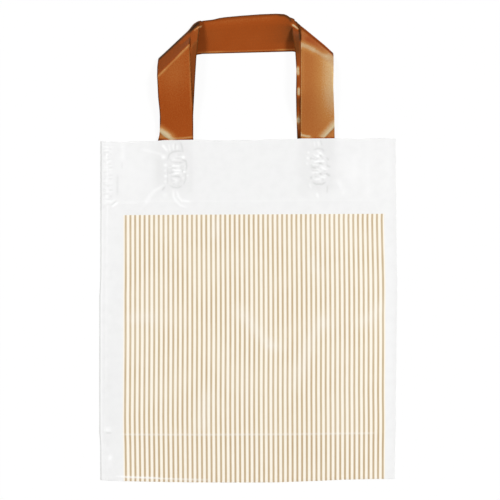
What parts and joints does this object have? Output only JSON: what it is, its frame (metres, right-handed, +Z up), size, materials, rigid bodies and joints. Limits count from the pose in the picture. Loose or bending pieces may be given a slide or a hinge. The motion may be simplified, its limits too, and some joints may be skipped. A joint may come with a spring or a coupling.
{
  "type": "plastic carrier bag",
  "caption": "Flat-lying film carrier bag with a folded mouth hem, bottom gusset, sealed sides and soft loop handles of brown film, printed with fine vertical stripes.",
  "frame": {"origin": "on the floor under the middle of the whole outline, bag and handles together", "axes": "+Z up out of the front face, +Y from the bag's bottom towards its handles, +X to the right as the front is seen"},
  "size_m": [0.296, 0.466, 0.0132],
  "materials": {
    "white_film": "milky satin polyethylene film with tan stripes",
    "brown_film": "glossy brown polyethylene film"
  },
  "bodies": {
    "root": {"bag_body": "white_film", "front_handle": "brown_film", "rear_handle": "brown_film"}
  },
  "joints": []
}
